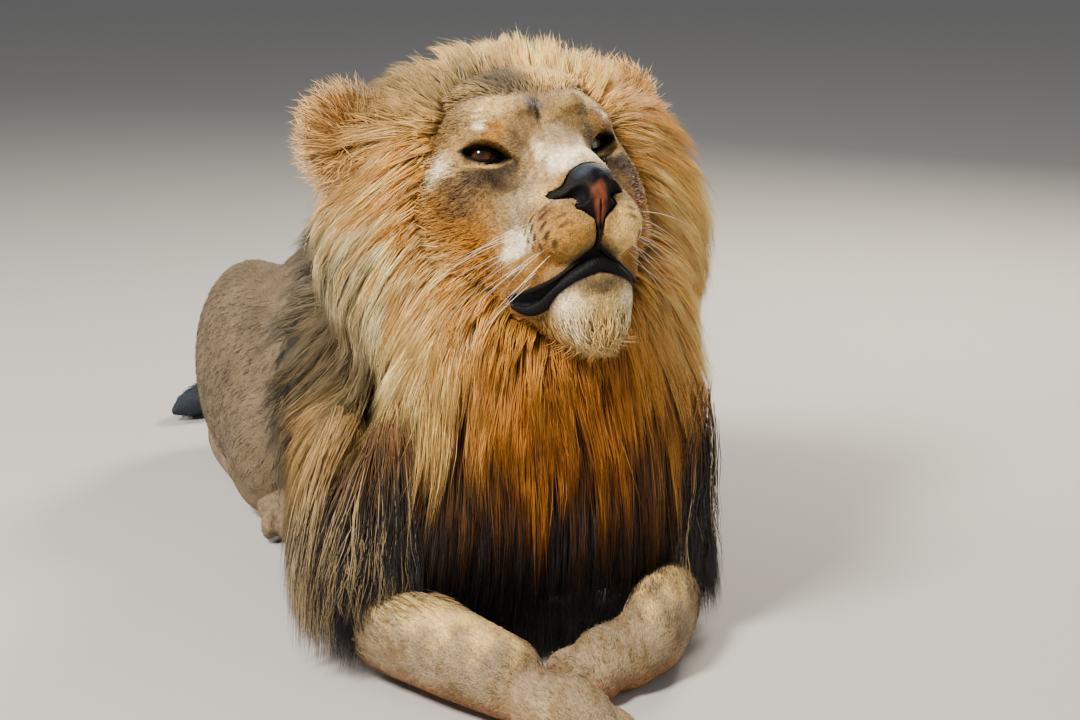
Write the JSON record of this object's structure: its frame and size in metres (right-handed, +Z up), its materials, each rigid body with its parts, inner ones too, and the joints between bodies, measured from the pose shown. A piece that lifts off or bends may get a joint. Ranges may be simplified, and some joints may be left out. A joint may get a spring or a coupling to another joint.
{
  "type": "lion",
  "caption": "Life-size adult male lion lying on its chest with head raised, full mane, forepaws crossed in front and tail curled behind.",
  "frame": {"origin": "middle of the lion's bounding box, on the floor it lies on", "axes": "+Z up, -Y the way the lion faces, +X its left side; the body's length runs along Y"},
  "size_m": [0.606, 1.7836, 0.7682],
  "materials": {
    "face_fur": "short flat fur, tan with pale chin and dark whisker spots",
    "mane_gold": "long soft mane, cream at the cheeks to rust at the throat",
    "mane_dark": "long mane over chest and shoulders, dark brown to black",
    "body_fur": "short flat tan coat",
    "nose_skin": "pebbled nose leather, dark with a pink middle",
    "eye": "wet dark amber eye"
  },
  "bodies": {
    "root": {"head": "face_fur", "lower_jaw": "face_fur", "mane_crown": "mane_gold", "mane_left": "mane_gold", "mane_right": "mane_gold", "mane_throat": "mane_gold", "ear_left": "mane_gold", "ear_right": "mane_gold", "mane_chest": "mane_dark", "neck": "mane_dark", "upper_arm_left": "mane_dark", "upper_arm_right": "mane_dark", "shoulder_left": "mane_dark", "shoulder_right": "mane_dark", "tail_tuft": "mane_dark", "chest": "body_fur", "trunk": "body_fur", "rump": "body_fur", "thigh_left": "body_fur", "thigh_right": "body_fur", "hock_left": "body_fur", "hock_right": "body_fur", "paw_hind_left": "body_fur", "paw_hind_right": "body_fur", "forearm_left": "body_fur", "forearm_right": "body_fur", "paw_front_left": "body_fur", "paw_front_right": "body_fur", "tail_base": "body_fur", "tail_middle": "body_fur", "tail_end": "body_fur", "nose": "nose_skin", "eye_left": "eye", "eye_right": "eye"}
  },
  "joints": []
}
